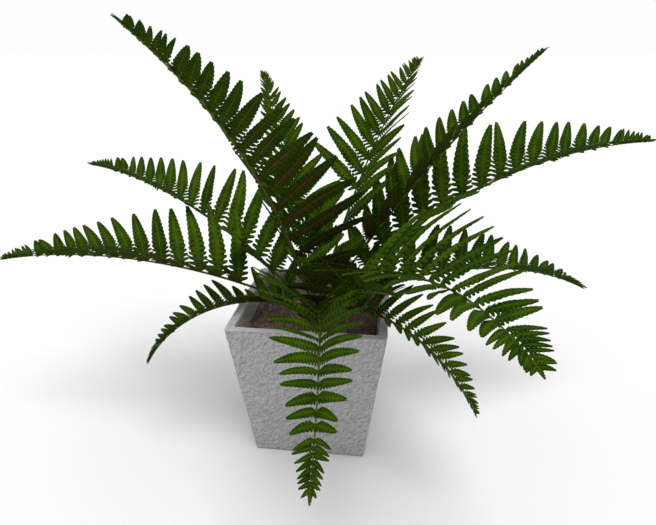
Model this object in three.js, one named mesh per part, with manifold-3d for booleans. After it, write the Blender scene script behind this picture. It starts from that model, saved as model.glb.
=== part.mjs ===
// A fern in a square, tapered planter.
// Units are millimetres and +Z is up. The origin is the middle of the planter's underside.

import * as THREE from 'three';
import { mergeVertices } from 'three/addons/utils/BufferGeometryUtils.js';
import Module from 'manifold-3d';

const wasm = await Module();
wasm.setup();

// Planter
const planterHeight = 200;
const rimWidth = 200;
const baseWidth = 150;
const wallThickness = 11;
const floorThickness = 12;
const cornerRadius = 3;
const drainHoleDiameter = 10;
const drainHoleSpacing = 72;

// Soil: how far its surface lies below the rim
const soilDrop = 22;

// Crown, the rootstock that the fronds grow from
const crownRadius = 24;
const crownRise = 15;
const crownDepth = 26;

// Where the stalks are rooted: the height above the soil, and the two rings of seats
const seatHeight = 8;
const seatRing = { inner: 7, outer: 15 };

// Fronds: the stalk and midrib, and the pairs of leaflets on them
const stalkDiameter = 3.8;
const stalkTipDiameter = 1.2;
const leafletPairs = 20;
const firstPairShare = 0.09;
const lastPairShare = 0.97;
const bladeThickness = 0.8;

// How far a leaflet leans toward the tip, in degrees, at the foot and at the tip of its frond
const leafletLean = { foot: 12, tip: 40 };

// The shares of its full length that a leaflet is tried at where its neighbours crowd it
const leafletRooms = [1, 0.85, 0.7, 0.55, 0.4, 0.28];

// Gap between pieces that touch
const clearance = 0.3;

// Each frond: its ring and seat on the crown, the way it heads and how far that turns on the way
// (sway), its slope at the foot and at the tip, its length, its roll about the midrib, how far its
// two halves are folded up at the foot and at the tip, and the reach of its longest leaflet. Angles
// are in degrees, read anticlockwise from +X seen from above. A frond earlier in the list takes its
// space first, and one that would meet the rim rises more steeply.
const fronds = [
  {
    ring: 'inner', seat: 240, heading: 246, sway: 6, rise: 72, tipSlope: 32,
    length: 460, roll: 0, fold: 38, tipFold: 38, reach: 116,
  },
  {
    ring: 'inner', seat: 120, heading: 114, sway: 3, rise: 55, tipSlope: 40,
    length: 405, roll: 0, fold: 40, tipFold: 40, reach: 86,
  },
  {
    ring: 'inner', seat: 60, heading: 61, sway: 6, rise: 65, tipSlope: 28,
    length: 445, roll: -4, fold: 40, tipFold: 40, reach: 106,
  },
  {
    ring: 'inner', seat: 0, heading: 18, sway: -2, rise: 57, tipSlope: 42,
    length: 440, roll: 6, fold: 34, tipFold: 34, reach: 95,
  },
  {
    ring: 'outer', seat: 28, heading: 20, sway: -2, rise: 48, tipSlope: 0,
    length: 535, roll: -9, fold: 44, tipFold: 44, reach: 131,
  },
  {
    ring: 'outer', seat: 3, heading: 10, sway: 17, rise: 28, tipSlope: -30,
    length: 420, roll: 0, fold: 38, tipFold: 38, reach: 96,
  },
  {
    ring: 'outer', seat: 314, heading: 313, sway: -25, rise: 49, tipSlope: -10,
    length: 430, roll: -9, fold: 36, tipFold: 24, reach: 132,
  },
  {
    ring: 'outer', seat: 338, heading: 326, sway: 2, rise: 30, tipSlope: -60,
    length: 264, roll: -2, fold: 40, tipFold: 40, reach: 64,
  },
  {
    ring: 'outer', seat: 268, heading: 283, sway: -10, rise: 37, tipSlope: -22,
    length: 392, roll: -4, fold: 46, tipFold: 34, reach: 98,
  },
  {
    ring: 'outer', seat: 205, heading: 199, sway: -7, rise: 29, tipSlope: -62,
    length: 252, roll: -4, fold: 36, tipFold: 36, reach: 60,
  },
  {
    ring: 'outer', seat: 180, heading: 185, sway: -8, rise: 26, tipSlope: -12,
    length: 450, roll: 6, fold: 42, tipFold: 42, reach: 108,
  },
  {
    ring: 'outer', seat: 155, heading: 158, sway: -3, rise: 40, tipSlope: 0,
    length: 460, roll: 4, fold: 40, tipFold: 40, reach: 108,
  },
  {
    ring: 'outer', seat: 291, heading: 293, sway: 0, rise: 40, tipSlope: 18,
    length: 300, roll: 8, fold: 40, tipFold: 40, reach: 95,
  },
];

const soilTop = planterHeight - soilDrop;
const planterWidthAt = (height) => THREE.MathUtils.mapLinear(height, 0, planterHeight, baseWidth, rimWidth);

const ceramic = new THREE.MeshStandardMaterial({ color: 0xb9b9bd, roughness: 0.9, metalness: 0 });
const soil = new THREE.MeshStandardMaterial({ color: 0x3a2c2b, roughness: 1, metalness: 0 });
const rootstock = new THREE.MeshStandardMaterial({ color: 0x4a3420, roughness: 0.95, metalness: 0 });
const leaf = new THREE.MeshStandardMaterial({ color: 0x2c4a10, roughness: 0.6, metalness: 0 });

// A closed geometry as a solid that can be joined and cut.
function solidOf(geometry) {
  const surface = new THREE.BufferGeometry();
  const source = geometry.index ? geometry.toNonIndexed() : geometry;
  surface.setAttribute('position', source.getAttribute('position'));
  const merged = mergeVertices(surface, 1e-4);
  const mesh = new wasm.Mesh({
    numProp: 3,
    vertProperties: merged.attributes.position.array,
    triVerts: new Uint32Array(merged.index.array),
  });
  return new wasm.Manifold(mesh);
}

function meshOf(name, solid, material) {
  const { vertProperties, triVerts } = solid.getMesh();
  const geometry = new THREE.BufferGeometry();
  geometry.setAttribute('position', new THREE.BufferAttribute(vertProperties, 3));
  geometry.setIndex(new THREE.BufferAttribute(triVerts, 1));
  const mesh = new THREE.Mesh(geometry, material.clone());
  mesh.name = name;
  return mesh;
}

// A square block with round corners, from one height to another, narrower at the bottom.
function taperedBlock(bottom, top, bottomWidth, topWidth) {
  const half = bottomWidth / 2;
  const straight = half - cornerRadius;
  const outline = new THREE.Shape();
  outline.absarc(straight, straight, cornerRadius, 0, Math.PI / 2);
  outline.absarc(-straight, straight, cornerRadius, Math.PI / 2, Math.PI);
  outline.absarc(-straight, -straight, cornerRadius, Math.PI, 1.5 * Math.PI);
  outline.absarc(straight, -straight, cornerRadius, 1.5 * Math.PI, 2 * Math.PI);
  const height = top - bottom;
  const block = new THREE.ExtrudeGeometry(outline, { depth: height, bevelEnabled: false, curveSegments: 3 });
  const position = block.getAttribute('position');
  for (let i = 0; i < position.count; i++) {
    const widen = THREE.MathUtils.mapLinear(position.getZ(i), 0, height, 1, topWidth / bottomWidth);
    position.setX(i, position.getX(i) * widen);
    position.setY(i, position.getY(i) * widen);
  }
  block.translate(0, 0, bottom);
  return solidOf(block);
}

// The same taper as the planter, set in from its outside by an even wall.
function insetBlock(bottom, top, inset) {
  return taperedBlock(bottom, top, planterWidthAt(bottom) - 2 * inset, planterWidthAt(top) - 2 * inset);
}

function planter() {
  const overcut = 1;
  let body = insetBlock(0, planterHeight, 0);
  body = body.subtract(insetBlock(floorThickness, planterHeight + overcut, wallThickness));
  for (const x of [-1, 1]) {
    for (const y of [-1, 1]) {
      const hole = new THREE.CylinderGeometry(
        drainHoleDiameter / 2, drainHoleDiameter / 2, floorThickness + 2 * overcut, 12);
      hole.rotateX(Math.PI / 2);
      hole.translate(x * drainHoleSpacing / 2, y * drainHoleSpacing / 2, floorThickness / 2);
      body = body.subtract(solidOf(hole));
    }
  }
  return body;
}

// The crown: a low dome above the soil on a blunt root end below it, grown by a gap where asked.
function crownBody(grow) {
  const rootRadius = 0.55 * crownRadius;
  const shoulderRadius = 0.9 * crownRadius;
  const shoulderDepth = 0.5 * crownDepth;
  const domeSteps = 4;
  const sides = 16;
  const profile = [new THREE.Vector2(0, -crownDepth - grow)];
  profile.push(new THREE.Vector2(rootRadius + grow, -crownDepth - grow));
  profile.push(new THREE.Vector2(shoulderRadius + grow, -shoulderDepth));
  for (let i = 0; i < domeSteps; i++) {
    const turn = (i / domeSteps) * Math.PI / 2;
    const radius = (crownRadius + grow) * Math.cos(turn);
    profile.push(new THREE.Vector2(radius, (crownRise + grow) * Math.sin(turn)));
  }
  profile.push(new THREE.Vector2(0, crownRise + grow));
  const body = new THREE.LatheGeometry(profile, sides);
  body.rotateX(Math.PI / 2);
  body.translate(0, 0, soilTop);
  return solidOf(body);
}

// The direction in which a frond's midrib runs at a share of its length.
function midribDirection(frond, share) {
  const slope = THREE.MathUtils.degToRad(THREE.MathUtils.lerp(frond.rise, frond.tipSlope, share));
  const heading = THREE.MathUtils.degToRad(frond.heading + frond.sway * share);
  const level = Math.cos(slope);
  return new THREE.Vector3(level * Math.cos(heading), level * Math.sin(heading), Math.sin(slope));
}

// Points along the midrib, one for each step from foot to tip.
function midribPoints(frond) {
  const steps = 60;
  const seat = THREE.MathUtils.degToRad(frond.seat);
  const ring = seatRing[frond.ring];
  const point = new THREE.Vector3(ring * Math.cos(seat), ring * Math.sin(seat), soilTop + seatHeight);
  const points = [point.clone()];
  for (let i = 0; i < steps; i++) {
    point.addScaledVector(midribDirection(frond, (i + 0.5) / steps), frond.length / steps);
    points.push(point.clone());
  }
  return points;
}

// Whether the stalk passes over the planter's wall with a gap to it.
function passesOverRim(frond) {
  const halfRim = rimWidth / 2;
  const halfStalk = stalkDiameter / 2 * Math.SQRT2;
  return frond.points.every((point) => {
    const fromMiddle = Math.max(Math.abs(point.x), Math.abs(point.y));
    const overSoil = fromMiddle < halfRim - wallThickness - halfStalk;
    const outside = fromMiddle > halfRim + halfStalk;
    return overSoil || outside || point.z > planterHeight + halfStalk + clearance;
  });
}

// A place on the midrib with its own directions: along it, to its right and up from its face.
function midribPlace(frond, share) {
  const along = midribDirection(frond, Math.max(share, 0));
  const level = new THREE.Vector3().crossVectors(along, new THREE.Vector3(0, 0, 1)).normalize();
  const upright = new THREE.Vector3().crossVectors(level, along);
  const roll = THREE.MathUtils.degToRad(frond.roll);
  const right = level.clone().multiplyScalar(Math.cos(roll)).addScaledVector(upright, Math.sin(roll));
  const up = upright.clone().multiplyScalar(Math.cos(roll)).addScaledVector(level, -Math.sin(roll));
  const step = Math.max(share, 0) * (frond.points.length - 1);
  const before = Math.min(Math.floor(step), frond.points.length - 2);
  const point = frond.points[before].clone().lerp(frond.points[before + 1], step - before);
  point.addScaledVector(along, Math.min(share, 0) * frond.length);
  return { point, along, right, up };
}

// Half the thickness of the stalk and midrib, which taper from the foot to the tip.
function midribRadius(share) {
  return THREE.MathUtils.lerp(stalkDiameter, stalkTipDiameter, share) / 2;
}

// How far along the midrib each pair of leaflets stands: the pairs are closer toward the tip.
function pairShare(pair) {
  const crowding = 0.45;
  const order = pair / (leafletPairs - 1);
  return firstPairShare + (lastPairShare - firstPairShare) * order * (1 + crowding - crowding * order);
}

// The full length of a leaflet: short at the foot, longest a quarter of the way up, then tapering.
function fullLength(frond, share) {
  const footLength = 0.45;
  const tipLength = 0.08;
  const longestFrom = 0.24;
  const longestTo = 0.28;
  const swell = THREE.MathUtils.smoothstep(share, 0.04, longestFrom);
  const taper = THREE.MathUtils.clamp((share - longestTo) / (1 - longestTo), 0, 1);
  const grown = THREE.MathUtils.lerp(footLength, 1, swell);
  return frond.reach * grown * THREE.MathUtils.lerp(1, tipLength, taper);
}

// The way a leaflet points from the midrib: out to its side, folded up and leaning to the tip.
function leafletDirection(frond, place, share, side) {
  const fold = THREE.MathUtils.degToRad(THREE.MathUtils.lerp(frond.fold, frond.tipFold, share));
  const lean = THREE.MathUtils.degToRad(THREE.MathUtils.lerp(leafletLean.foot, leafletLean.tip, share));
  const out = place.right.clone().multiplyScalar(side * Math.cos(fold));
  out.addScaledVector(place.up, Math.sin(fold));
  return out.multiplyScalar(Math.cos(lean)).addScaledVector(place.along, Math.sin(lean));
}

// One side of a flat leaf: x runs out along a leaflet and y along the midrib. A leaflet is a lance
// shape, widest a third of the way out. Its points run from foot to tip.
function leafletOutline(frond, pair, side, length, grow) {
  const y = frond.length * pairShare(pair);
  const spacing = frond.length * (pairShare(pair + 0.5) - pairShare(pair - 0.5));
  const half = Math.min(0.4 * spacing, 0.22 * length);
  const halfFoot = 0.4 * half;
  const foot = midribRadius(pairShare(pair));
  const widest = 0.33 * length;
  return [
    [foot, y - halfFoot - grow],
    [widest, y - half - grow],
    [length + grow, y],
    [widest, y + half + grow],
    [foot, y + halfFoot + grow],
  ].map(([x, along]) => new THREE.Vector2(side * x, along));
}

// Where a corner of the flat leaf goes when it is bent to the frond: its layer is -1 underneath and
// 1 on top. The leaf is thick on the midrib and thin in the blades.
function bentCorner(frond, corner, grow) {
  const share = corner.y / frond.length;
  const place = midribPlace(frond, share);
  const radius = midribRadius(share) + grow;
  const layer = corner.z - 1;
  const onMidrib = Math.abs(corner.x) < radius + 0.01;
  if (onMidrib) {
    return place.point.addScaledVector(place.right, corner.x).addScaledVector(place.up, layer * radius);
  }
  const side = Math.sign(corner.x);
  const out = leafletDirection(frond, place, share, side);
  const face = new THREE.Vector3().crossVectors(out, place.along).multiplyScalar(side).normalize();
  const halfBlade = bladeThickness / 2 + grow;
  return place.point.addScaledVector(out, Math.abs(corner.x)).addScaledVector(face, layer * halfBlade);
}

// The corners of every triangle of a flat outline given two layers and bent to the frond. The wall
// is left out where the outline joins the next one, at the lengths given by joints.
function bentTriangles(frond, outline, grow, joints) {
  const flat = new THREE.ExtrudeGeometry(new THREE.Shape(outline), { depth: 2, bevelEnabled: false });
  const position = flat.getAttribute('position');
  const corners = [];
  for (let i = 0; i < position.count; i += 3) {
    const triangle = [i, i + 1, i + 2].map((n) => new THREE.Vector3().fromBufferAttribute(position, n));
    const onJoint = joints.some((y) => triangle.every((corner) => Math.abs(corner.y - y) < 1e-3));
    if (!onJoint) corners.push(...triangle.map((corner) => bentCorner(frond, corner, grow)));
  }
  return corners;
}

function solidOfTriangles(corners) {
  return solidOf(new THREE.BufferGeometry().setFromPoints(corners));
}

// The two corners of the midrib's edge on one side of it, at a share of the length.
function midribEdge(frond, share, grow) {
  const radius = midribRadius(THREE.MathUtils.clamp(share, 0, 1)) + grow;
  return [new THREE.Vector2(-radius, frond.length * share), new THREE.Vector2(radius, frond.length * share)];
}

// The shares at which the midrib is divided: a few along the bare stalk, then one between each pair.
function midribStations() {
  const bareSteps = 3;
  const stations = [];
  for (let step = 0; step < bareSteps; step++) {
    stations.push(step / bareSteps * pairShare(-0.5));
  }
  for (let pair = 0; pair < leafletPairs; pair++) {
    stations.push(pairShare(pair - 0.5));
  }
  stations.push(1);
  return stations;
}

// The stalk and midrib alone, grown by a gap where asked.
function stalk(frond, grow) {
  const stations = midribStations();
  stations[0] -= grow / frond.length;
  return frondLengths(frond, stations, grow, () => []);
}

// A frond from its foot up, a length of midrib at a time with the leaflets that stand on it.
function frondLengths(frond, stations, grow, leafletOn) {
  const bareSteps = stations.length - 1 - leafletPairs;
  const foot = frond.length * stations[0];
  const tip = frond.length;
  const corners = [];
  for (let step = 0; step < stations.length - 1; step++) {
    const [left, right] = midribEdge(frond, stations[step], grow);
    const [farLeft, farRight] = midribEdge(frond, stations[step + 1], grow);
    const pair = step - bareSteps;
    const outline = [left, right, ...leafletOn(pair, 1), farRight];
    outline.push(farLeft, ...leafletOn(pair, -1).reverse());
    const joints = [left.y, farLeft.y].filter((y) => y !== foot && y !== tip);
    corners.push(...bentTriangles(frond, outline, grow, joints));
  }
  return solidOfTriangles(corners);
}

// Every solid that a new leaflet has to stay clear of, with its box.
const taken = [];

function boxOf(solid) {
  const { min, max } = solid.boundingBox();
  return new THREE.Box3(new THREE.Vector3(...min), new THREE.Vector3(...max));
}

function take(frond, solid) {
  taken.push({ frond, solid, box: boxOf(solid) });
}

function isClear(frond, solid) {
  const box = boxOf(solid);
  return taken.every((other) => other.frond === frond || !other.box.intersectsBox(box)
    || other.solid.intersect(solid).isEmpty());
}

// A leaflet grows to its full length, or only as far as its neighbours leave it room.
function grownLeaflet(frond, pair, side) {
  for (const room of leafletRooms) {
    const length = room * fullLength(frond, pairShare(pair));
    const outline = leafletOutline(frond, pair, side, length, clearance);
    if (isClear(frond, solidOfTriangles(bentTriangles(frond, outline, clearance, [])))) {
      return leafletOutline(frond, pair, side, length, 0);
    }
  }
  return [];
}

function frondBody(frond) {
  const leaflets = [];
  const body = frondLengths(frond, midribStations(), 0, (pair, side) => {
    if (pair < 0) return [];
    const outline = grownLeaflet(frond, pair, side);
    if (outline.length) leaflets.push(solidOfTriangles(bentTriangles(frond, outline, 0, [])));
    return outline;
  });
  leaflets.forEach((leaflet) => take(frond, leaflet));
  return body;
}

for (const frond of fronds) {
  frond.points = midribPoints(frond);
  while (!passesOverRim(frond)) {
    frond.rise += 1;
    frond.points = midribPoints(frond);
  }
}
for (const frond of fronds) {
  take(frond, stalk(frond, 0));
}
take(null, planter());
take(null, crownBody(0));

const plant = new THREE.Group();

plant.add(meshOf('pot', planter(), ceramic));

const soilBody = insetBlock(floorThickness + clearance, soilTop, wallThickness + clearance);
plant.add(meshOf('potting_soil', soilBody.subtract(crownBody(clearance)), soil));

const sockets = fronds.map((frond) => stalk(frond, clearance));
const crown = sockets.reduce((body, socket) => body.subtract(socket), crownBody(0));
plant.add(meshOf('crown', crown, rootstock));

fronds.forEach((frond, index) => {
  const name = `frond_${String(index + 1).padStart(2, '0')}`;
  plant.add(meshOf(name, frondBody(frond), leaf));
});

export default plant;
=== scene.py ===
import random
from math import cos, pi, radians, sin

import bmesh
import bpy
from mathutils import Euler, Matrix, Vector, noise


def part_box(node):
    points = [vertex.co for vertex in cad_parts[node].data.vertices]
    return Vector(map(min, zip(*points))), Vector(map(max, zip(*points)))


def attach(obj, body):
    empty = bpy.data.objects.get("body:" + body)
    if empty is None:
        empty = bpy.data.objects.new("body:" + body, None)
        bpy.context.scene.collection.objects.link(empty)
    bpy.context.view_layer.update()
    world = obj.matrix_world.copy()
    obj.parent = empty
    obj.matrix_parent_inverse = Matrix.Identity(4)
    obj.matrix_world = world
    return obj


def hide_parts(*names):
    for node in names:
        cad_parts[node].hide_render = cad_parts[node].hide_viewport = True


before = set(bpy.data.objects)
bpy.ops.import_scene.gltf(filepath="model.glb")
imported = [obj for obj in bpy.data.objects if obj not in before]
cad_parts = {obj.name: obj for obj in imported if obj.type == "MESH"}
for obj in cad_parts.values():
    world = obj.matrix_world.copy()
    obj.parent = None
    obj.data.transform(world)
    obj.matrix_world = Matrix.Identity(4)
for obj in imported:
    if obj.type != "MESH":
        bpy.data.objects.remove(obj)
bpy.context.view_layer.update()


# small helpers

def lerp(a, b, share):
    return a + (b - a) * share


def clamp(value, low=0.0, high=1.0):
    return max(low, min(high, value))


def smooth(value):
    t = clamp(value)
    return t * t * (3 - 2 * t)


def newObject(name, bm, *materials):
    mesh = bpy.data.meshes.new(name)
    bm.to_mesh(mesh)
    bm.free()
    for material in materials:
        mesh.materials.append(material)
    obj = bpy.data.objects.new(name, mesh)
    bpy.context.scene.collection.objects.link(obj)
    return obj


def shadeSmooth(obj):
    obj.data.polygons.foreach_set("use_smooth", [True] * len(obj.data.polygons))


def applyModifiers(obj):
    bpy.context.view_layer.objects.active = obj
    for modifier in list(obj.modifiers):
        bpy.ops.object.modifier_apply(modifier=modifier.name)


def joinInto(obj, others):
    bpy.ops.object.select_all(action="DESELECT")
    for piece in (obj, *others):
        piece.select_set(True)
    bpy.context.view_layer.objects.active = obj
    bpy.ops.object.join()


def finishPiece(obj, slotName, *nodes):
    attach(obj, "root")
    if nodes:
        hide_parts(*nodes)


# node helpers

def newMaterial(name, roughness=0.6, specular=0.4):
    material = bpy.data.materials.new(name)
    material.use_nodes = True
    shader = material.node_tree.nodes["Principled BSDF"]
    shader.inputs["Roughness"].default_value = roughness
    shader.inputs["Specular IOR Level"].default_value = specular
    return material, material.node_tree, shader


def addNode(tree, kind, inputs=(), **settings):
    node = tree.nodes.new(kind)
    for name, value in settings.items():
        setattr(node, name, value)
    for name, value in dict(inputs).items():
        if isinstance(value, bpy.types.NodeSocket):
            tree.links.new(value, node.inputs[name])
        else:
            node.inputs[name].default_value = value
    return node


def calc(tree, operation, a, b=0.0, c=0.0):
    return addNode(tree, "ShaderNodeMath", {0: a, 1: b, 2: c}, operation=operation).outputs[0]


def ramp(tree, value, low, high, lowOut=0.0, highOut=1.0):
    inputs = {"Value": value, "From Min": low, "From Max": high, "To Min": lowOut, "To Max": highOut}
    return addNode(tree, "ShaderNodeMapRange", inputs, interpolation_type="SMOOTHSTEP").outputs[0]


def blendColour(tree, factor, a, b):
    node = addNode(tree, "ShaderNodeMix", {0: factor}, data_type="RGBA")
    for socket, value in ((node.inputs[6], a), (node.inputs[7], b)):
        if isinstance(value, bpy.types.NodeSocket):
            tree.links.new(value, socket)
        else:
            socket.default_value = (*value, 1)
    return node.outputs[2]


def noiseAt(tree, vector, scale, detail=4.0, roughness=0.55, distortion=0.0):
    inputs = {"Vector": vector, "Scale": scale, "Detail": detail, "Roughness": roughness,
              "Distortion": distortion}
    return addNode(tree, "ShaderNodeTexNoise", inputs).outputs["Fac"]


def objectPoint(tree):
    return addNode(tree, "ShaderNodeTexCoord").outputs["Object"]


def stretched(tree, vector, scale, turn=(0, 0, 0), kind="POINT"):
    inputs = {"Vector": vector, "Scale": scale, "Rotation": turn}
    return addNode(tree, "ShaderNodeMapping", inputs, vector_type=kind).outputs[0]


def setBump(tree, shader, height, distance, strength=1.0):
    bump = addNode(tree, "ShaderNodeBump", {"Height": height, "Distance": distance, "Strength": strength})
    tree.links.new(bump.outputs[0], shader.inputs["Normal"])


def setColour(tree, shader, colour):
    tree.links.new(colour, shader.inputs["Base Color"])


# camera, floor and light

viewing = {
    "eye": (0.0967, -0.660, 0.5243),
    "downward": 22.05,  # degrees
    "turn": 6.88,  # degrees to the left
    "lens": 29.5,  # mm, on a 36 mm sensor
}

studio = {
    "floorSize": 80.0,
    "floorDrop": 0.0004,  # below the planter's underside
    "floorColour": (0.88, 0.88, 0.88),
    "horizon": 0.99,  # brightness of the white surroundings
    "zenith": 0.62,
    "dimming": (0.10, 0.45),  # from and to where they dim on the way up, as the sine of the height
    "sunTurn": (16, 9, 0),  # degrees from straight down
    "sunSpread": 35,  # degrees across, for soft shadows
    "sunPower": 1.75,
}


def buildStudio():
    scene = bpy.context.scene
    camera = bpy.data.cameras.new("camera")
    camera.lens = viewing["lens"]
    camera.sensor_width = 36
    camera.clip_start = 0.02
    obj = bpy.data.objects.new("camera", camera)
    obj.location = viewing["eye"]
    obj.rotation_euler = (radians(90 - viewing["downward"]), 0, radians(viewing["turn"]))
    scene.collection.objects.link(obj)
    scene.camera = obj
    scene.view_settings.view_transform = "Standard"

    world = bpy.data.worlds.new("studio")
    world.use_nodes = True
    sky = world.node_tree.nodes["Background"]
    sky.inputs["Color"].default_value = (1, 1, 1, 1)
    direction = addNode(world.node_tree, "ShaderNodeTexCoord").outputs["Generated"]
    upward = addNode(world.node_tree, "ShaderNodeSeparateXYZ", {0: direction}).outputs["Z"]
    brightness = ramp(world.node_tree, upward, *studio["dimming"], studio["horizon"], studio["zenith"])
    world.node_tree.links.new(brightness, sky.inputs["Strength"])
    scene.world = world

    lamp = bpy.data.lights.new("soft_sun", "SUN")
    lamp.energy = studio["sunPower"]
    lamp.angle = radians(studio["sunSpread"])
    sun = bpy.data.objects.new("soft_sun", lamp)
    sun.rotation_euler = [radians(turn) for turn in studio["sunTurn"]]
    scene.collection.objects.link(sun)

    material, _, shader = newMaterial("studio_floor", 0.8, 0.2)
    shader.inputs["Base Color"].default_value = (*studio["floorColour"], 1)
    bm = bmesh.new()
    bmesh.ops.create_grid(bm, x_segments=1, y_segments=1, size=studio["floorSize"] / 2)
    bmesh.ops.translate(bm, verts=bm.verts, vec=(0, 0, -studio["floorDrop"]))
    newObject("floor", bm, material)


buildStudio()
print("studio: camera, floor and lights")


# planter: a square tapered tub of rough plaster with a smoother, flat rim

planter = {
    "wall": 0.011,
    "floor": 0.012,
    "cornerRadius": 0.003,
    "holeRadius": 0.005,
    "holeSpacing": 0.072,
    "cell": 0.002,  # fineness of the plaster's relief
    "slant": (-0.44, 0.47, 0),  # the trowelled lumps lean to the right and back going up
    "lumpSize": 0.0046,  # across a lump, which is twice as long
    "relief": 0.0007,
    "rimRelief": 0.0003,
    "rimEdge": 0.006,  # depth over which the rim's finish gives way to the wall's
    "lumpScale": 215,
    "paintedHighlightOffset": (-0.0007, 0, 0.0006),  # the way toward a lump's painted highlight, with painted shade on the far side
    # the wall's grey, with painted shade and a painted highlight on each lump
    "lumpPaintedShade": (0.27, 0.27, 0.272),
    "lumpPaintedHighlight": (0.56, 0.56, 0.557),
    "insideColour": (0.50, 0.51, 0.49),
    "rimColour": (0.62, 0.61, 0.66),
    "rimCrest": (0.76, 0.75, 0.80),
}


def planterMaterial(rimHeight):
    material, tree, shader = newMaterial("rough_plaster", 0.92, 0.15)
    point = objectPoint(tree)
    height = addNode(tree, "ShaderNodeSeparateXYZ", {0: point}).outputs["Z"]
    normal = addNode(tree, "ShaderNodeNewGeometry").outputs["Normal"]
    onTop = addNode(tree, "ShaderNodeSeparateXYZ", {0: normal}).outputs["Z"]
    atRim = ramp(tree, height, rimHeight - planter["rimEdge"], rimHeight - planter["rimEdge"] / 3)
    rim = calc(tree, "MULTIPLY", ramp(tree, onTop, 0.45, 0.85), atRim)
    level = addNode(tree, "ShaderNodeVectorMath", {0: point, 1: (1, 1, 0)}, operation="MULTIPLY").outputs[0]
    inward = addNode(tree, "ShaderNodeVectorMath", {0: level, 1: normal}, operation="DOT_PRODUCT")
    inside = ramp(tree, inward.outputs["Value"], -0.02, 0.0, 1, 0)

    slanted = stretched(tree, point, (1, 1, 2), planter["slant"], "TEXTURE")
    lumps = noiseAt(tree, slanted, planter["lumpScale"], 3, 0.55, 0.5)
    fine = noiseAt(tree, slanted, 800, 4, 0.65)
    # painted light and shade: each lump is lighter on one edge and darker on the other, from the lumps less
    # the same lumps shifted
    beside = addNode(tree, "ShaderNodeVectorMath", {0: slanted, 1: planter["paintedHighlightOffset"]}).outputs[0]
    slope = calc(tree, "SUBTRACT", lumps, noiseAt(tree, beside, planter["lumpScale"], 3, 0.55, 0.5))
    side = blendColour(tree, ramp(tree, slope, -0.19, 0.19), planter["lumpPaintedShade"], planter["lumpPaintedHighlight"])
    side = blendColour(tree, calc(tree, "MULTIPLY", inside, 0.8), side, planter["insideColour"])
    grain = noiseAt(tree, point, 260, 6, 0.7)
    top = blendColour(tree, ramp(tree, grain, 0.35, 0.65), planter["rimColour"], planter["rimCrest"])
    setColour(tree, shader, blendColour(tree, rim, side, top))
    tree.links.new(ramp(tree, lumps, 0.3, 0.7, 0.96, 0.84), shader.inputs["Roughness"])
    rough = calc(tree, "MULTIPLY", lumps, calc(tree, "SUBTRACT", 1.0, calc(tree, "MULTIPLY", rim, 0.75)))
    setBump(tree, shader, calc(tree, "MULTIPLY_ADD", fine, 0.25, rough), 0.006, 1.0)
    return material


def drainHoles(floor):
    bm = bmesh.new()
    radius, aside = planter["holeRadius"], planter["holeSpacing"] / 2
    for x in (-aside, aside):
        for y in (-aside, aside):
            made = bmesh.ops.create_cone(bm, segments=24, radius1=radius, radius2=radius, depth=4 * floor,
                                         cap_ends=True)
            bmesh.ops.translate(bm, verts=made["verts"], vec=(x, y, floor / 2))
    return newObject("drain_holes", bm)


def planterShell(low, high):
    bm = bmesh.new()
    made = bmesh.ops.create_cube(bm, size=1)
    size = high - low
    bmesh.ops.scale(bm, verts=made["verts"], vec=size)
    bmesh.ops.translate(bm, verts=made["verts"], vec=(low + high) / 2)
    base = [v for v in bm.verts if v.co.z < low.z + size.z / 2]
    narrow = baseWidth() / size.x
    bmesh.ops.scale(bm, verts=base, vec=(narrow, narrow, 1))
    top = max(bm.faces, key=lambda f: f.calc_center_median().z)
    bmesh.ops.inset_individual(bm, faces=[top], thickness=planter["wall"], use_even_offset=True)
    well = bmesh.ops.extrude_discrete_faces(bm, faces=[top])["faces"][0]
    drop = size.z - planter["floor"]
    shrink = 1 - drop * (size.x - baseWidth()) / size.z / (size.x - 2 * planter["wall"])
    bmesh.ops.translate(bm, verts=well.verts, vec=(0, 0, -drop))
    bmesh.ops.scale(bm, verts=well.verts, vec=(shrink, shrink, 1))
    upright = [e for e in bm.edges if abs(e.verts[0].co.z - e.verts[1].co.z) > size.z / 2]
    bmesh.ops.bevel(bm, geom=upright, affect="EDGES", offset=planter["cornerRadius"], segments=3,
                    profile=0.5, material=-1)
    return bm


def baseWidth():
    underside = [v.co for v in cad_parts["pot"].data.vertices if v.co.z < 0.0005]
    return 2 * max(c.x for c in underside)


def roughen(mesh, low, high):
    # trowelled plaster on the walls, almost flat on the rim and flat underneath
    upright = Euler(planter["slant"]).to_matrix().inverted()
    normals = [v.normal.copy() for v in mesh.vertices]
    for vert, normal in zip(mesh.vertices, normals):
        co = vert.co
        onRim = smooth((normal.z - 0.4) / 0.4) * smooth((co.z - high.z + planter["rimEdge"]) / 0.004)
        underneath = smooth((0.004 - co.z) / 0.003)
        slanted = upright @ co / planter["lumpSize"]
        slanted.z *= 0.5
        lump = noise.fractal(slanted, 0.9, 2.0, 2) - 0.25 * noise.noise(slanted * 0.3)
        amount = lerp(planter["relief"], planter["rimRelief"], onRim) * (1 - underneath)
        vert.co = co + normal * lump * amount
        vert.co.z = max(vert.co.z, low.z)


def buildPlanter():
    low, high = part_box("pot")
    bm = planterShell(low, high)
    pot = newObject("planter", bm, planterMaterial(high.z))
    holes = drainHoles(planter["floor"])
    drilled = pot.modifiers.new("drilled", "BOOLEAN")
    drilled.object = holes
    drilled.operation = "DIFFERENCE"
    remesh = pot.modifiers.new("even_cells", "REMESH")
    remesh.mode = "VOXEL"
    remesh.voxel_size = planter["cell"]
    remesh.use_smooth_shade = True
    applyModifiers(pot)
    bpy.data.objects.remove(holes)
    roughen(pot.data, low, high)
    shadeSmooth(pot)
    finishPiece(pot, "planter", "pot")
    return pot


pot = buildPlanter()
print("planter:", len(pot.data.polygons), "faces")


# potting soil: a crumbly block of peat and bark that fills the planter to below its rim

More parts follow.
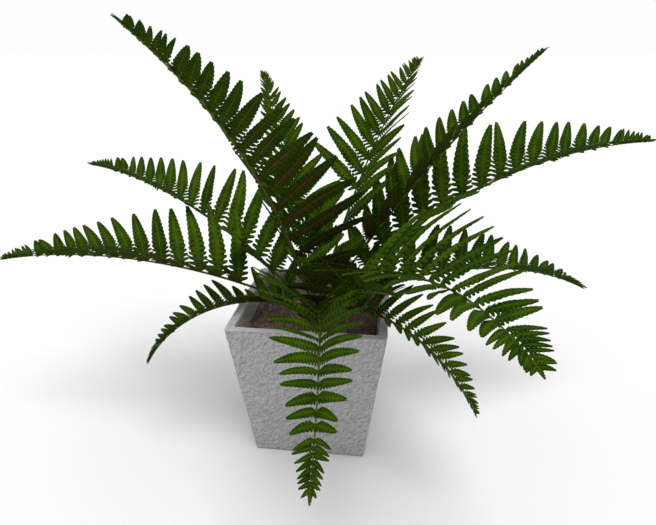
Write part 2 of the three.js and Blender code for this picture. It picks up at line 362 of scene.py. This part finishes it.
soil = {
    "cells": 110,
    "relief": 0.0034,
    "lumpScale": 95,
    "swellScale": 24,
    "sag": 0.0015,  # how far the surface sinks along the wall
    "crumbs": 420,
    "crumbSize": (0.0012, 0.0036),
    "fibres": 260,
    "fibreSize": (0.006, 0.020),
    "dark": (0.090, 0.057, 0.050),
    "middle": (0.25, 0.165, 0.135),
    "pale": (0.48, 0.34, 0.27),
    "strand": (0.34, 0.25, 0.22),
    "seed": 11,
}


def soilMaterial():
    material, tree, shader = newMaterial("peat_and_bark", 0.95, 0.2)
    point = objectPoint(tree)
    strands = noiseAt(tree, stretched(tree, point, (1, 0.28, 1), (0, 0, 0.5)), 190, 6, 0.65, 1.6)
    crossing = noiseAt(tree, stretched(tree, point, (0.3, 1, 1), (0, 0, 0.3)), 240, 5, 0.6, 1.2)
    clods = noiseAt(tree, point, 75, 4, 0.6)
    colour = blendColour(tree, ramp(tree, clods, 0.32, 0.66), soil["dark"], soil["middle"])
    colour = blendColour(tree, ramp(tree, strands, 0.50, 0.70, 0, 0.75), colour, soil["pale"])
    colour = blendColour(tree, ramp(tree, crossing, 0.55, 0.74, 0, 0.5), colour, soil["strand"])
    setColour(tree, shader, colour)
    setBump(tree, shader, calc(tree, "ADD", strands, calc(tree, "MULTIPLY", crossing, 0.8)), 0.002, 0.9)
    return material


def soilHeight(x, y, half):
    at = Vector((x, y, 0.37))
    lumps = noise.fractal(at * soil["lumpScale"], 0.75, 2.1, 4)
    swell = noise.noise(at * soil["swellScale"])
    edge = smooth((max(abs(x), abs(y)) / half - 0.86) / 0.14)
    return soil["relief"] * (0.55 * lumps + 0.5 * swell) - soil["sag"] * edge


def addCrumb(bm, place, size, flat, turn):
    # one knobbly grain, flattened and turned
    made = bmesh.ops.create_icosphere(bm, subdivisions=1, radius=size / 2)
    for vert in made["verts"]:
        vert.co *= 1 + 0.45 * noise.noise(vert.co * 900 + place * 3000)
    bmesh.ops.scale(bm, verts=made["verts"], vec=flat)
    bmesh.ops.rotate(bm, verts=made["verts"], cent=(0, 0, 0), matrix=turn)
    bmesh.ops.translate(bm, verts=made["verts"], vec=place)


def buildSoil():
    low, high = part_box("potting_soil")
    half = high.x
    underside = [v.co.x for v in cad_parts["potting_soil"].data.vertices if v.co.z < low.z + 0.001]
    narrow = max(underside) / half
    bm = bmesh.new()
    bmesh.ops.create_grid(bm, x_segments=soil["cells"], y_segments=soil["cells"], size=half)
    for vert in bm.verts:
        vert.co.z = high.z + soilHeight(vert.co.x, vert.co.y, half)
    rim = [e for e in bm.edges if e.is_boundary]
    sides = bmesh.ops.extrude_edge_only(bm, edges=rim)["geom"]
    bottom = [g for g in sides if isinstance(g, bmesh.types.BMVert)]
    for vert in bottom:
        vert.co.z = low.z
    bmesh.ops.scale(bm, verts=bottom, vec=(narrow, narrow, 1))
    bmesh.ops.edgeloop_fill(bm, edges=[e for e in bm.edges if e.is_boundary])
    bmesh.ops.recalc_face_normals(bm, faces=bm.faces)

    chance = random.Random(soil["seed"])
    for i in range(soil["crumbs"] + soil["fibres"]):
        x, y = (chance.uniform(-0.93, 0.93) * half for axis in "xy")
        place = Vector((x, y, high.z + soilHeight(x, y, half) + 0.0004))
        around, tilt = chance.uniform(0, pi), chance.gauss(0, 0.25)
        turn = Matrix.Rotation(around, 3, "Z") @ Matrix.Rotation(tilt, 3, "Y")
        if i < soil["crumbs"]:
            size = chance.uniform(*soil["crumbSize"])
            addCrumb(bm, place, size, (1, chance.uniform(0.6, 1), chance.uniform(0.5, 0.8)), turn)
        else:
            size = chance.uniform(*soil["fibreSize"])
            addCrumb(bm, place, size, (1, chance.uniform(0.07, 0.16), chance.uniform(0.05, 0.10)), turn)
    obj = newObject("soil", bm, soilMaterial())
    shadeSmooth(obj)
    finishPiece(obj, "soil", "potting_soil")
    return obj


soilBlock = buildSoil()
print("soil:", len(soilBlock.data.polygons), "faces")


# crown: a knobbly rootstock with the stubs of old stalks and brown chaff on it

crown = {
    "relief": 0.0022,
    "stubs": 34,
    "stubRadius": (0.0015, 0.0026),
    "stubLength": (0.006, 0.013),
    "chaff": 150,
    "chaffSize": (0.005, 0.012),
    "brown": (0.050, 0.026, 0.012),
    "dark": (0.014, 0.008, 0.005),
    "pale": (0.15, 0.088, 0.042),
    "slopes": (8, 78),  # degrees up the dome between which stubs and chaff stand
    "seed": 23,
}


def rootstockMaterial():
    material, tree, shader = newMaterial("rootstock_bark", 0.9, 0.15)
    point = objectPoint(tree)
    clods = noiseAt(tree, point, 140, 5, 0.6)
    hairs = noiseAt(tree, stretched(tree, point, (1, 1, 0.25)), 900, 4, 0.6, 0.7)
    colour = blendColour(tree, ramp(tree, clods, 0.34, 0.64), crown["dark"], crown["brown"])
    colour = blendColour(tree, ramp(tree, hairs, 0.52, 0.72, 0, 0.7), colour, crown["pale"])
    setColour(tree, shader, colour)
    setBump(tree, shader, calc(tree, "ADD", clods, hairs), 0.0012, 0.9)
    return material


def crownPoint(turn, rise, radius, soilTop, high):
    # a point on the dome, its height given as an angle from the level of the soil
    return Vector((radius * cos(rise) * cos(turn), radius * cos(rise) * sin(turn),
                   soilTop + (high.z - soilTop) * sin(rise)))


def buildCrown():
    low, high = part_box("crown")
    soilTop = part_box("potting_soil")[1].z
    radius = high.x
    bm = bmesh.new()
    bmesh.ops.create_icosphere(bm, subdivisions=5, radius=1)
    for vert in bm.verts:
        narrow = 1 - 0.25 * smooth(-vert.co.z)
        rise = (high.z - soilTop) if vert.co.z > 0 else (soilTop - low.z)
        lump = 1 + crown["relief"] / radius * noise.fractal(vert.co * 5, 0.8, 2.0, 3)
        vert.co = Vector((vert.co.x * radius * narrow * lump, vert.co.y * radius * narrow * lump,
                          soilTop + vert.co.z * rise * lump))
    chance = random.Random(crown["seed"])
    for i in range(crown["stubs"] + crown["chaff"]):
        turn, rise = chance.uniform(0, 2 * pi), radians(chance.uniform(*crown["slopes"]))
        place = crownPoint(turn, rise, radius * 0.95, soilTop, high)
        outward = Vector((cos(rise) * cos(turn), cos(rise) * sin(turn), 0.4 + sin(rise))).normalized()
        face = outward.to_track_quat("Z", "Y").to_matrix()
        if i < crown["stubs"]:
            width, length = chance.uniform(*crown["stubRadius"]), chance.uniform(*crown["stubLength"])
            made = bmesh.ops.create_cone(bm, segments=8, radius1=width, radius2=0.75 * width, depth=length,
                                         cap_ends=True)
            bmesh.ops.rotate(bm, verts=made["verts"], cent=(0, 0, 0), matrix=face)
            bmesh.ops.translate(bm, verts=made["verts"], vec=place)
        else:
            size = chance.uniform(*crown["chaffSize"])
            lying = face @ Matrix.Rotation(chance.uniform(0.2, 1.2), 3, "X")
            addCrumb(bm, place, size, (0.16, 0.06, 1), lying)
    obj = newObject("rootstock", bm, rootstockMaterial())
    shadeSmooth(obj)
    finishPiece(obj, "rootstock", "crown")
    return obj


rootstock = buildCrown()
print("crown:", len(rootstock.data.polygons), "faces")


# fern: each frond is a grooved stalk and midrib with pairs of lobed leaflets, folded up to a V

fern = {
    "seatHeight": 0.008,
    "rings": {"inner": 0.007, "outer": 0.015},
    "stalkWidth": 0.0038,
    "stalkTipWidth": 0.0012,
    "pairs": 20,
    "firstPair": 0.09,
    "lastPair": 0.97,
    "crowding": 0.45,  # how much closer the pairs stand toward the tip
    "crowdedFrom": 0.86,  # share of the length from which leaflets stand twice as close
    "lean": (12, 40),  # how far leaflets lean to the tip, at the foot and at the tip of a frond
    "lastReach": 0.6,  # reach beyond the last pair, as a share of that pair's
    "least": 0.004,  # a shorter leaflet is left out
    "endLeaflet": (0.975, 0.035, 0.007),  # where the last one starts, its length and half width
    "midribSteps": 60,
    "stalkSteps": 72,
    "stalkSides": 10,
    "stalkGroove": 0.55,  # where the groove's bottom lies, as a share of the radius
    "stalkFoot": (0.05, 0.5),  # share of the length over which the foot swells, and by how much
    "onLine": 0.0005,  # how far off a leaflet's line a corner of the frame may lie and still be on it
    "seed": 5,
}

# angles in degrees, anticlockwise from +X seen from above; rise and tipSlope are the midrib's slopes,
# spread is how much less the right and left halves are folded up than the frame's, and broad is how
# broad the leaflets are, where they aren't of the usual width
fronds = {
    "frond_01": dict(ring="inner", seat=240, heading=246, sway=6, rise=72, tipSlope=32,
                     length=0.460, roll=0, fold=38, tipFold=38, spread=(0, 6)),
    "frond_02": dict(ring="inner", seat=120, heading=114, sway=3, rise=55, tipSlope=40,
                     length=0.405, roll=0, fold=40, tipFold=40),
    "frond_03": dict(ring="inner", seat=60, heading=61, sway=6, rise=65, tipSlope=28,
                     length=0.445, roll=-4, fold=40, tipFold=40),
    "frond_04": dict(ring="inner", seat=0, heading=18, sway=-2, rise=57, tipSlope=42,
                     length=0.440, roll=6, fold=34, tipFold=34),
    "frond_05": dict(ring="outer", seat=28, heading=20, sway=-2, rise=48, tipSlope=0,
                     length=0.535, roll=-9, fold=44, tipFold=44, spread=(9, 0)),
    "frond_06": dict(ring="outer", seat=3, heading=10, sway=17, rise=28, tipSlope=-30,
                     length=0.420, roll=0, fold=38, tipFold=38, spread=(9, 0)),
    "frond_07": dict(ring="outer", seat=314, heading=313, sway=-25, rise=49, tipSlope=-10,
                     length=0.430, roll=-9, fold=36, tipFold=24, spread=(9, 0)),
    "frond_08": dict(ring="outer", seat=338, heading=326, sway=2, rise=30, tipSlope=-60,
                     length=0.264, roll=-2, fold=40, tipFold=40, spread=(9, 0)),
    "frond_09": dict(ring="outer", seat=268, heading=283, sway=-10, rise=37, tipSlope=-22,
                     length=0.392, roll=-4, fold=46, tipFold=34, broad=0.82),
    "frond_10": dict(ring="outer", seat=205, heading=199, sway=-7, rise=29, tipSlope=-62,
                     length=0.252, roll=-4, fold=36, tipFold=36, spread=(0, 6)),
    "frond_11": dict(ring="outer", seat=180, heading=185, sway=-8, rise=26, tipSlope=-12,
                     length=0.450, roll=6, fold=42, tipFold=42),
    "frond_12": dict(ring="outer", seat=155, heading=158, sway=-3, rise=40, tipSlope=0,
                     length=0.460, roll=4, fold=40, tipFold=40),
    "frond_13": dict(ring="outer", seat=291, heading=293, sway=0, rise=40, tipSlope=18,
                     length=0.300, roll=8, fold=40, tipFold=40),
}

leaflet = {
    "thickness": 0.00045,
    "lobes": ((0.050, 14), (0.028, 10), (0.014, 7), (0.0, 5)),  # lobes on a side, by least length
    "web": (0.22, 0.78),  # how far the lobes are joined, at the foot and beyond the middle
    "fingerEnd": 0.28,  # up to where the lobes are deep fingers
    "finger": ((0.16, 0.70, 0.3), (0.34, 0.62 / 0.70, 0.7)),  # steps out: reach, narrowing and lean
    "scallop": ((0.5, 0.66, 1),),
    "lobesToUnit": 16,  # lobes that one unit of the layer for their pattern takes
    "lobeLean": 0.4,  # how far a lobe leans to the tip, in lobe widths
    "width": (0.57, 0.66),  # greatest half width, as a share of the gap between pairs, and where crowded
    "slim": (0.27, 0.62),  # or of the leaflet's own length, if that is less, low on a frond and at its tip
    "arch": 0.05,
    "droop": 0.04,
    "sickle": 0.13,  # how far a leaflet bends to the tip of its frond
    "gutter": 0.20,  # how far the two sides of a leaflet hang from its rib
    "ribGroove": 0.04,  # how far its rib lies below them, as a share of its half width
    "ripple": 0.10,  # waves of its margin, as a share of its half width
    "twist": 8,  # degrees
    "wander": 2.5,  # degrees
}

green = {
    # deep is a darker tone of the leaf, also used for painted shade between its lobes
    "deep": (0.004, 0.026, 0.0005),
    "middle": (0.026, 0.063, 0.001),
    "light": (0.056, 0.109, 0.003),
    "rib": (0.085, 0.130, 0.012),
    "margin": (0.085, 0.130, 0.008),
    "under": (0.012, 0.036, 0.004),
    "spore": (0.038, 0.015, 0.005),
    "sporeCrest": (0.085, 0.036, 0.011),
    "stalk": (0.100, 0.082, 0.012),
    "stalkDark": (0.036, 0.026, 0.006),
}


def midribDirection(frond, share):
    slope = radians(lerp(frond["rise"], frond["tipSlope"], share))
    heading = radians(frond["heading"] + frond["sway"] * share)
    return Vector((cos(slope) * cos(heading), cos(slope) * sin(heading), sin(slope)))


def midribPoints(frond, soilTop):
    steps = fern["midribSteps"]
    ring = fern["rings"][frond["ring"]]
    seat = radians(frond["seat"])
    points = [Vector((ring * cos(seat), ring * sin(seat), soilTop + fern["seatHeight"]))]
    for i in range(steps):
        step = midribDirection(frond, (i + 0.5) / steps) * frond["length"] / steps
        points.append(points[-1] + step)
    return points


def midribPlace(frond, share):
    # a place on the midrib, and its directions: along it, to its right and up from its face
    share = clamp(share)
    along = midribDirection(frond, share)
    level = along.cross(Vector((0, 0, 1))).normalized()
    upright = level.cross(along)
    roll = radians(frond["roll"])
    right = level * cos(roll) + upright * sin(roll)
    up = upright * cos(roll) - level * sin(roll)
    step = share * (len(frond["points"]) - 1)
    before = min(int(step), len(frond["points"]) - 2)
    point = frond["points"][before].lerp(frond["points"][before + 1], step - before)
    return point, along, right, up


def pairShare(pair):
    order = pair / (fern["pairs"] - 1)
    spread = fern["lastPair"] - fern["firstPair"]
    return fern["firstPair"] + spread * order * (1 + fern["crowding"] - fern["crowding"] * order)


def leafletDirection(frond, share, side, spread=0):
    along, right, up = midribPlace(frond, share)[1:]
    fold = radians(lerp(frond["fold"], frond["tipFold"], share) - spread)
    lean = radians(lerp(*fern["lean"], share))
    out = right * (side * cos(fold)) + up * sin(fold)
    return out * cos(lean) + along * sin(lean)


def leafletReaches(name, frond):
    # how far the CAD frond reaches along each leaflet's own line, from foot to tip on either side
    corners = [v.co.copy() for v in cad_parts[name].data.vertices]
    reaches = {1: [], -1: []}
    for side in reaches:
        for pair in range(fern["pairs"]):
            share = pairShare(pair)
            root, out = midribPlace(frond, share)[0], leafletDirection(frond, share, side)
            onLine = [0]
            for corner in corners:
                distance = (corner - root).dot(out)
                if distance > 0 and (corner - root - out * distance).length < fern["onLine"]:
                    onLine.append(distance)
            reaches[side].append(max(onLine))
        reaches[side].append(reaches[side][-1] * fern["lastReach"])
    return reaches


def leafletPlaces():
    # the pairs of the frame, with more between them toward the tip, and how crowded each one stands
    for pair in range(fern["pairs"]):
        share = pairShare(pair)
        crowd = 1 + (share > fern["crowdedFrom"])
        for i in range(crowd):
            yield pair + i / crowd, crowd


def outline(x):
    # half the leaflet's width at a share of its length, as a share of the greatest
    return (0.85 + 0.15 * smooth(x / 0.12)) * (1 - 0.64 * x) * (1 - 0.9 * x ** 7) ** 0.5


def leafletSheet(lobes):
    # a flat leaflet one unit long and one unit to each side, with a face or two for each lobe
    bm = bmesh.new()
    bmesh.ops.create_grid(bm, x_segments=lobes, y_segments=2, size=0.5)
    bmesh.ops.translate(bm, verts=bm.verts, vec=(0.5, 0, 0))
    for edge in [e for e in bm.edges if e.is_boundary and abs(e.verts[0].co.y - e.verts[1].co.y) < 1e-6]:
        side = 1 if edge.verts[0].co.y > 0 else -1
        start = sum(v.co.x for v in edge.verts) / 2
        steps = leaflet["finger"] if start < leaflet["fingerEnd"] else leaflet["scallop"]
        tip = edge
        for out, narrow, lean in steps:
            grown = bmesh.ops.extrude_edge_only(bm, edges=[tip])["geom"]
            ends = [g for g in grown if isinstance(g, bmesh.types.BMVert)]
            middle = sum((v.co for v in ends), Vector()) / 2
            bmesh.ops.scale(bm, verts=ends, vec=(narrow, 1, 1), space=Matrix.Translation(-middle))
            bmesh.ops.translate(bm, verts=ends, vec=(lean * leaflet["lobeLean"] / lobes, side * out, 0))
            tip = next(e for e in bm.edges if all(v in ends for v in e.verts))
    lobesLayer = bm.loops.layers.uv.new("lobes")
    growthLayer = bm.loops.layers.uv.new("growth")
    bm.loops.layers.uv.new("age")
    for face in bm.faces:
        for loop in face.loops:
            co = loop.vert.co
            loop[lobesLayer].uv = (co.x * lobes / leaflet["lobesToUnit"], 0.5 + co.y / 2)
            loop[growthLayer].uv = (co.x, 0.5)
    for vert in bm.verts:
        x, y = clamp(vert.co.x), abs(vert.co.y)
        web = lerp(*leaflet["web"], smooth((x - 0.02) / 0.40))
        reach = web * 2 * y if y <= 0.5 else lerp(web, 1, (y - 0.5) * 2)
        vert.co.y = (1 if vert.co.y > 0 else -1) * reach * outline(x)
        vert.co.z = -leaflet["gutter"] * reach ** 1.6 * outline(x)
        if reach > 0.05:
            vert.co.z += leaflet["ribGroove"]
    sheet = bpy.data.meshes.new("leaflet_" + str(lobes))
    bm.to_mesh(sheet)
    bm.free()
    return sheet


sheets = {lobes: leafletSheet(lobes) for least, lobes in leaflet["lobes"]}


def addLeaflet(bm, root, out, face, side, length, halfWidth, share, chance):
    lobes = next(lobes for least, lobes in leaflet["lobes"] if length >= least)
    before, facesBefore = len(bm.verts), len(bm.faces)
    bm.from_mesh(sheets[lobes])
    bm.verts.ensure_lookup_table()
    bm.faces.ensure_lookup_table()
    across = face.cross(out).normalized()
    turn = Matrix.Rotation(radians(chance.gauss(0, leaflet["twist"])), 4, out)
    turn = Matrix.Rotation(radians(chance.gauss(0, leaflet["wander"])), 4, face) @ turn
    axes = Matrix((out, across, face)).transposed().to_4x4()
    place = Matrix.Translation(root) @ turn @ axes
    arch = leaflet["arch"] * chance.uniform(0.4, 1.3)
    droop = leaflet["droop"] * chance.uniform(0.2, 1.3)
    sickle = leaflet["sickle"] * chance.uniform(-0.3, 1.5) * side
    for vert in bm.verts[before:]:
        x, y, z = vert.co
        lift = arch * sin(pi * clamp(x)) - droop * x * x
        wave = noise.noise(Vector((x * lobes * 0.7, y * 3, length * 900)))
        ripple = leaflet["ripple"] * halfWidth * abs(y) * wave
        vert.co = place @ Vector((x * length, y * halfWidth + sickle * x * x * length,
                                  z * halfWidth + lift * length + ripple))
    growthLayer, ageLayer = bm.loops.layers.uv["growth"], bm.loops.layers.uv["age"]
    tint = clamp(chance.gauss(0.5, 0.2))
    for added in bm.faces[facesBefore:]:
        for loop in added.loops:
            loop[growthLayer].uv.y = tint
            loop[ageLayer].uv = (1 - share, 0.5)


def stalkBody(frond, name, *materials):
    # the stalk and midrib: a tube with a groove along its upper side, swollen at its foot
    bm = bmesh.new()
    steps = fern["stalkSteps"]
    footEnd, swelling = fern["stalkFoot"]

    def section(share):
        point, along, right, up = midribPlace(frond, share)
        radius = lerp(fern["stalkWidth"], fern["stalkTipWidth"], share) / 2
        flare = 1 + swelling * smooth(1 - share / footEnd)
        axes = Matrix((right, up, -along)).transposed().to_4x4()
        return Matrix.Translation(point) @ axes @ Matrix.Scale(radius * flare, 4)

    ring = bmesh.ops.create_circle(bm, segments=fern["stalkSides"], radius=1)["verts"]
    top = max(ring, key=lambda v: v.co.y)
    top.co.y *= fern["stalkGroove"]
    edges = list(bm.edges)
    place = section(0)
    bmesh.ops.transform(bm, matrix=place, verts=ring)
    for i in range(1, steps + 1):
        grown = bmesh.ops.extrude_edge_only(bm, edges=edges)["geom"]
        ring = [g for g in grown if isinstance(g, bmesh.types.BMVert)]
        ends = set(ring)
        edges = [g for g in grown if isinstance(g, bmesh.types.BMEdge) and set(g.verts) <= ends]
        onward = section(i / steps)
        bmesh.ops.transform(bm, matrix=onward @ place.inverted(), verts=ring)
        place = onward
    bmesh.ops.holes_fill(bm, edges=[e for e in bm.edges if e.is_boundary], sides=0)
    bmesh.ops.recalc_face_normals(bm, faces=bm.faces)
    lobesLayer = bm.loops.layers.uv.new("lobes")
    growthLayer = bm.loops.layers.uv.new("growth")
    bm.loops.layers.uv.new("age")
    foot = frond["points"][0]
    for face in bm.faces:
        face.material_index = 2  # after the leaf's face and underside
        for loop in face.loops:
            loop[growthLayer].uv = (clamp((loop.vert.co - foot).length / frond["length"]), 0.5)
            loop[lobesLayer].uv = (0, 0.5)
    return newObject(name, bm, *materials)


def readUv(tree, layer):
    uv = addNode(tree, "ShaderNodeUVMap", uv_map=layer).outputs[0]
    parts = addNode(tree, "ShaderNodeSeparateXYZ", {0: uv})
    return parts.outputs[0], parts.outputs[1]


def lobePattern(tree):
    # where a point lies on its lobe: 0 to 1 across the lobe, and 0 to 1 from the rib to the margin
    along, across = readUv(tree, "lobes")
    phase = calc(tree, "FRACT", calc(tree, "MULTIPLY", along, leaflet["lobesToUnit"]))
    fromVein = calc(tree, "MULTIPLY", calc(tree, "ABSOLUTE", calc(tree, "SUBTRACT", phase, 0.5)), 2)
    fromRib = calc(tree, "MULTIPLY", calc(tree, "ABSOLUTE", calc(tree, "SUBTRACT", across, 0.5)), 2)
    return fromVein, fromRib


def leafMaterial():
    material, tree, shader = newMaterial("fern_leaf", 0.55, 0.015)
    point = objectPoint(tree)
    fromVein, fromRib = lobePattern(tree)
    out, tint = readUv(tree, "growth")
    patches = noiseAt(tree, point, 55, 4)
    colour = blendColour(tree, ramp(tree, patches, 0.32, 0.66), green["middle"], green["light"])
    colour = blendColour(tree, ramp(tree, tint, 0.3, 0.95, 0.0, 0.55), colour, green["deep"])
    # painted shade in the creases between the lobes, away from the rib
    creaseShade = calc(tree, "MULTIPLY", ramp(tree, fromVein, 0.45, 0.95), ramp(tree, fromRib, 0.06, 0.35))
    colour = blendColour(tree, calc(tree, "MULTIPLY", creaseShade, 0.85), colour, green["deep"])
    vein = calc(tree, "MULTIPLY", ramp(tree, fromVein, 0.03, 0.16, 1, 0),
                ramp(tree, fromRib, 0.85, 0.3, 0, 1))
    colour = blendColour(tree, calc(tree, "MULTIPLY", vein, 0.2), colour, green["margin"])
    edge = calc(tree, "ADD", ramp(tree, fromRib, 0.95, 1.0, 0, 0.35), ramp(tree, out, 0.95, 1.0, 0, 0.5))
    colour = blendColour(tree, edge, colour, green["margin"])
    rib = ramp(tree, fromRib, 0.015, 0.06, 1, 0)
    colour = blendColour(tree, calc(tree, "MULTIPLY", rib, 0.6), colour, green["rib"])
    setColour(tree, shader, colour)
    tree.links.new(ramp(tree, patches, 0.3, 0.7, 0.48, 0.66), shader.inputs["Roughness"])
    puff = calc(tree, "MULTIPLY", ramp(tree, fromVein, 1.0, 0.15, 0, 1), ramp(tree, fromRib, 0.03, 0.4))
    height = calc(tree, "SUBTRACT", puff, calc(tree, "MULTIPLY", vein, 0.35))
    height = calc(tree, "MULTIPLY_ADD", noiseAt(tree, point, 1500, 3), 0.18, height)
    setBump(tree, shader, height, 0.0012, 0.9)
    return material


def undersideMaterial():
    material, tree, shader = newMaterial("fern_underside", 0.75, 0.015)
    point = objectPoint(tree)
    fromVein, fromRib = lobePattern(tree)
    out = readUv(tree, "growth")[0]
    patches = noiseAt(tree, point, 90, 4)
    colour = blendColour(tree, ramp(tree, patches, 0.3, 0.7), green["under"], green["middle"])
    # painted shade toward the gaps between the lobes
    colour = blendColour(tree, ramp(tree, fromVein, 0.5, 1.0, 0, 0.7), colour, green["deep"])
    aside = calc(tree, "DIVIDE", calc(tree, "SUBTRACT", fromRib, 0.26), 0.22)
    spread = calc(tree, "DIVIDE", fromVein, 0.95)
    distance = calc(tree, "SQRT", calc(tree, "ADD", calc(tree, "MULTIPLY", aside, aside),
                                       calc(tree, "MULTIPLY", spread, spread)))
    spore = calc(tree, "MULTIPLY", ramp(tree, distance, 0.7, 1.05, 1, 0), ramp(tree, out, 0.60, 0.85, 1, 0))
    spore = calc(tree, "MULTIPLY", spore, ramp(tree, readUv(tree, "age")[0], 0.25, 0.60, 0.15, 1))
    grit = noiseAt(tree, point, 1400, 3)
    brown = blendColour(tree, ramp(tree, grit, 0.35, 0.65), green["spore"], green["sporeCrest"])
    colour = blendColour(tree, calc(tree, "MULTIPLY", spore, 0.9), colour, brown)
    rib = ramp(tree, fromRib, 0.015, 0.06, 1, 0)
    colour = blendColour(tree, calc(tree, "MULTIPLY", rib, 0.6), colour, green["rib"])
    setColour(tree, shader, colour)
    height = calc(tree, "ADD", calc(tree, "MULTIPLY", spore, calc(tree, "ADD", grit, 0.4)), rib)
    setBump(tree, shader, height, 0.0008, 0.8)
    return material


def stalkMaterial():
    material, tree, shader = newMaterial("fern_stalk", 0.55, 0.15)
    point = objectPoint(tree)
    along = readUv(tree, "growth")[0]
    streaks = noiseAt(tree, point, 260, 4, 0.6, 0.8)
    colour = blendColour(tree, ramp(tree, streaks, 0.38, 0.66), green["stalk"], green["stalkDark"])
    colour = blendColour(tree, ramp(tree, along, 0.35, 0.95, 0, 0.7), colour, green["rib"])
    colour = blendColour(tree, ramp(tree, along, 0.0, 0.12, 0.8, 0), colour, green["stalkDark"])
    setColour(tree, shader, colour)
    setBump(tree, shader, noiseAt(tree, point, 700, 4), 0.0006, 0.6)
    return material


def buildFrond(name, frond, soilTop, materials, chance):
    frond["points"] = midribPoints(frond, soilTop)
    frond["reaches"] = leafletReaches(name, frond)
    bm = bmesh.new()
    for layer in ("lobes", "growth", "age"):
        bm.loops.layers.uv.new(layer)
    for pair, crowd in leafletPlaces():
        share = pairShare(pair)
        gap = frond["length"] * (pairShare(pair + 0.5 / crowd) - pairShare(pair - 0.5 / crowd))
        for side in (1, -1):
            root, along = midribPlace(frond, share)[:2]
            out = leafletDirection(frond, share, side, frond.get("spread", (0, 0))[side == -1])
            reaches = frond["reaches"][side]
            length = lerp(reaches[int(pair)], reaches[int(pair) + 1], pair % 1)
            if length < fern["least"]:
                continue
            face = (out.cross(along) * side).normalized()
            slim = lerp(*leaflet["slim"], smooth((share - 0.5) / 0.45))
            halfWidth = frond.get("broad", 1) * min(leaflet["width"][crowd - 1] * gap, slim * length)
            addLeaflet(bm, root, out, face, side, length, halfWidth, share, chance)
    start, length, halfWidth = fern["endLeaflet"]
    root, along, _, up = midribPlace(frond, start)
    addLeaflet(bm, root, along, up, 0, length * frond["length"], halfWidth * frond["length"], 1, chance)
    blade = newObject(name + "_leaf", bm, *materials)
    rounding = blade.modifiers.new("rounding", "SUBSURF")
    rounding.levels = rounding.render_levels = 1
    thickness = blade.modifiers.new("thickness", "SOLIDIFY")
    thickness.thickness = leaflet["thickness"]
    thickness.offset = 0
    thickness.material_offset = 1
    applyModifiers(blade)
    stalk = stalkBody(frond, name + "_stalk", *materials)
    joinInto(blade, [stalk])
    shadeSmooth(blade)
    finishPiece(blade, "leaf", name)
    return blade


def buildFern():
    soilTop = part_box("potting_soil")[1].z
    materials = leafMaterial(), undersideMaterial(), stalkMaterial()
    chance = random.Random(fern["seed"])
    for name, frond in fronds.items():
        blade = buildFrond(name, frond, soilTop, materials, chance)
        print(name + ":", len(blade.data.polygons), "faces")


buildFern()
